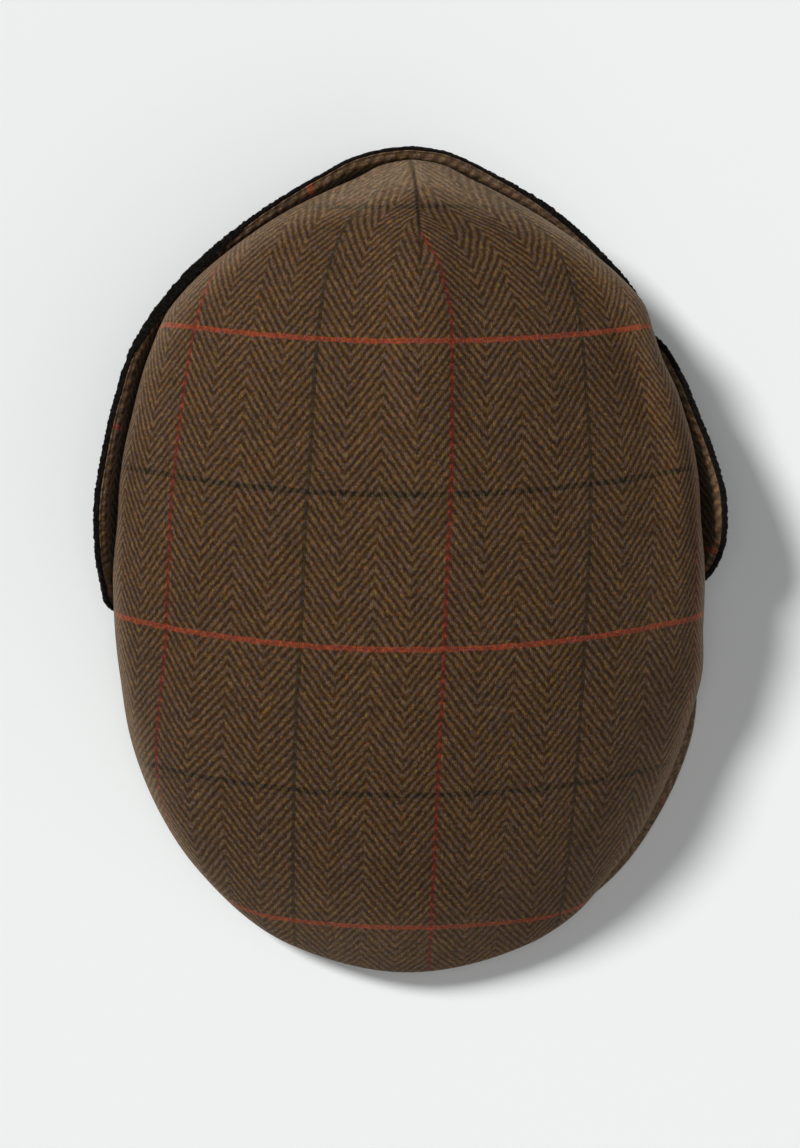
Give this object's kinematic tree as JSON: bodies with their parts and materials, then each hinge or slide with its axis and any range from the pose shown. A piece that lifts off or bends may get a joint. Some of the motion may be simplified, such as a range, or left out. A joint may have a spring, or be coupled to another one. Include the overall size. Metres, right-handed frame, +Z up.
{
  "type": "flat cap with earflaps",
  "caption": "Soft tweed flat cap with a domed crown drawn to a point at the back, a covered peak and a fleece-lined ear flap turned up round the sides and back.",
  "frame": {"origin": "centre of the cap's bounding box, on the surface that it rests on", "axes": "+X towards the wearer's left ear, +Y towards the back of the cap and away from the peak, +Z up"},
  "size_m": [0.2208, 0.2921, 0.0841],
  "materials": {
    "tweed": "brown herringbone wool with a red, orange and dark overcheck",
    "fleece": "black curly fleece"
  },
  "bodies": {
    "root": {"crown_top": "tweed", "side_panel_left": "tweed", "side_panel_right": "tweed", "peak": "tweed", "ear_flap": "tweed", "flap_lining": "fleece"}
  },
  "joints": []
}
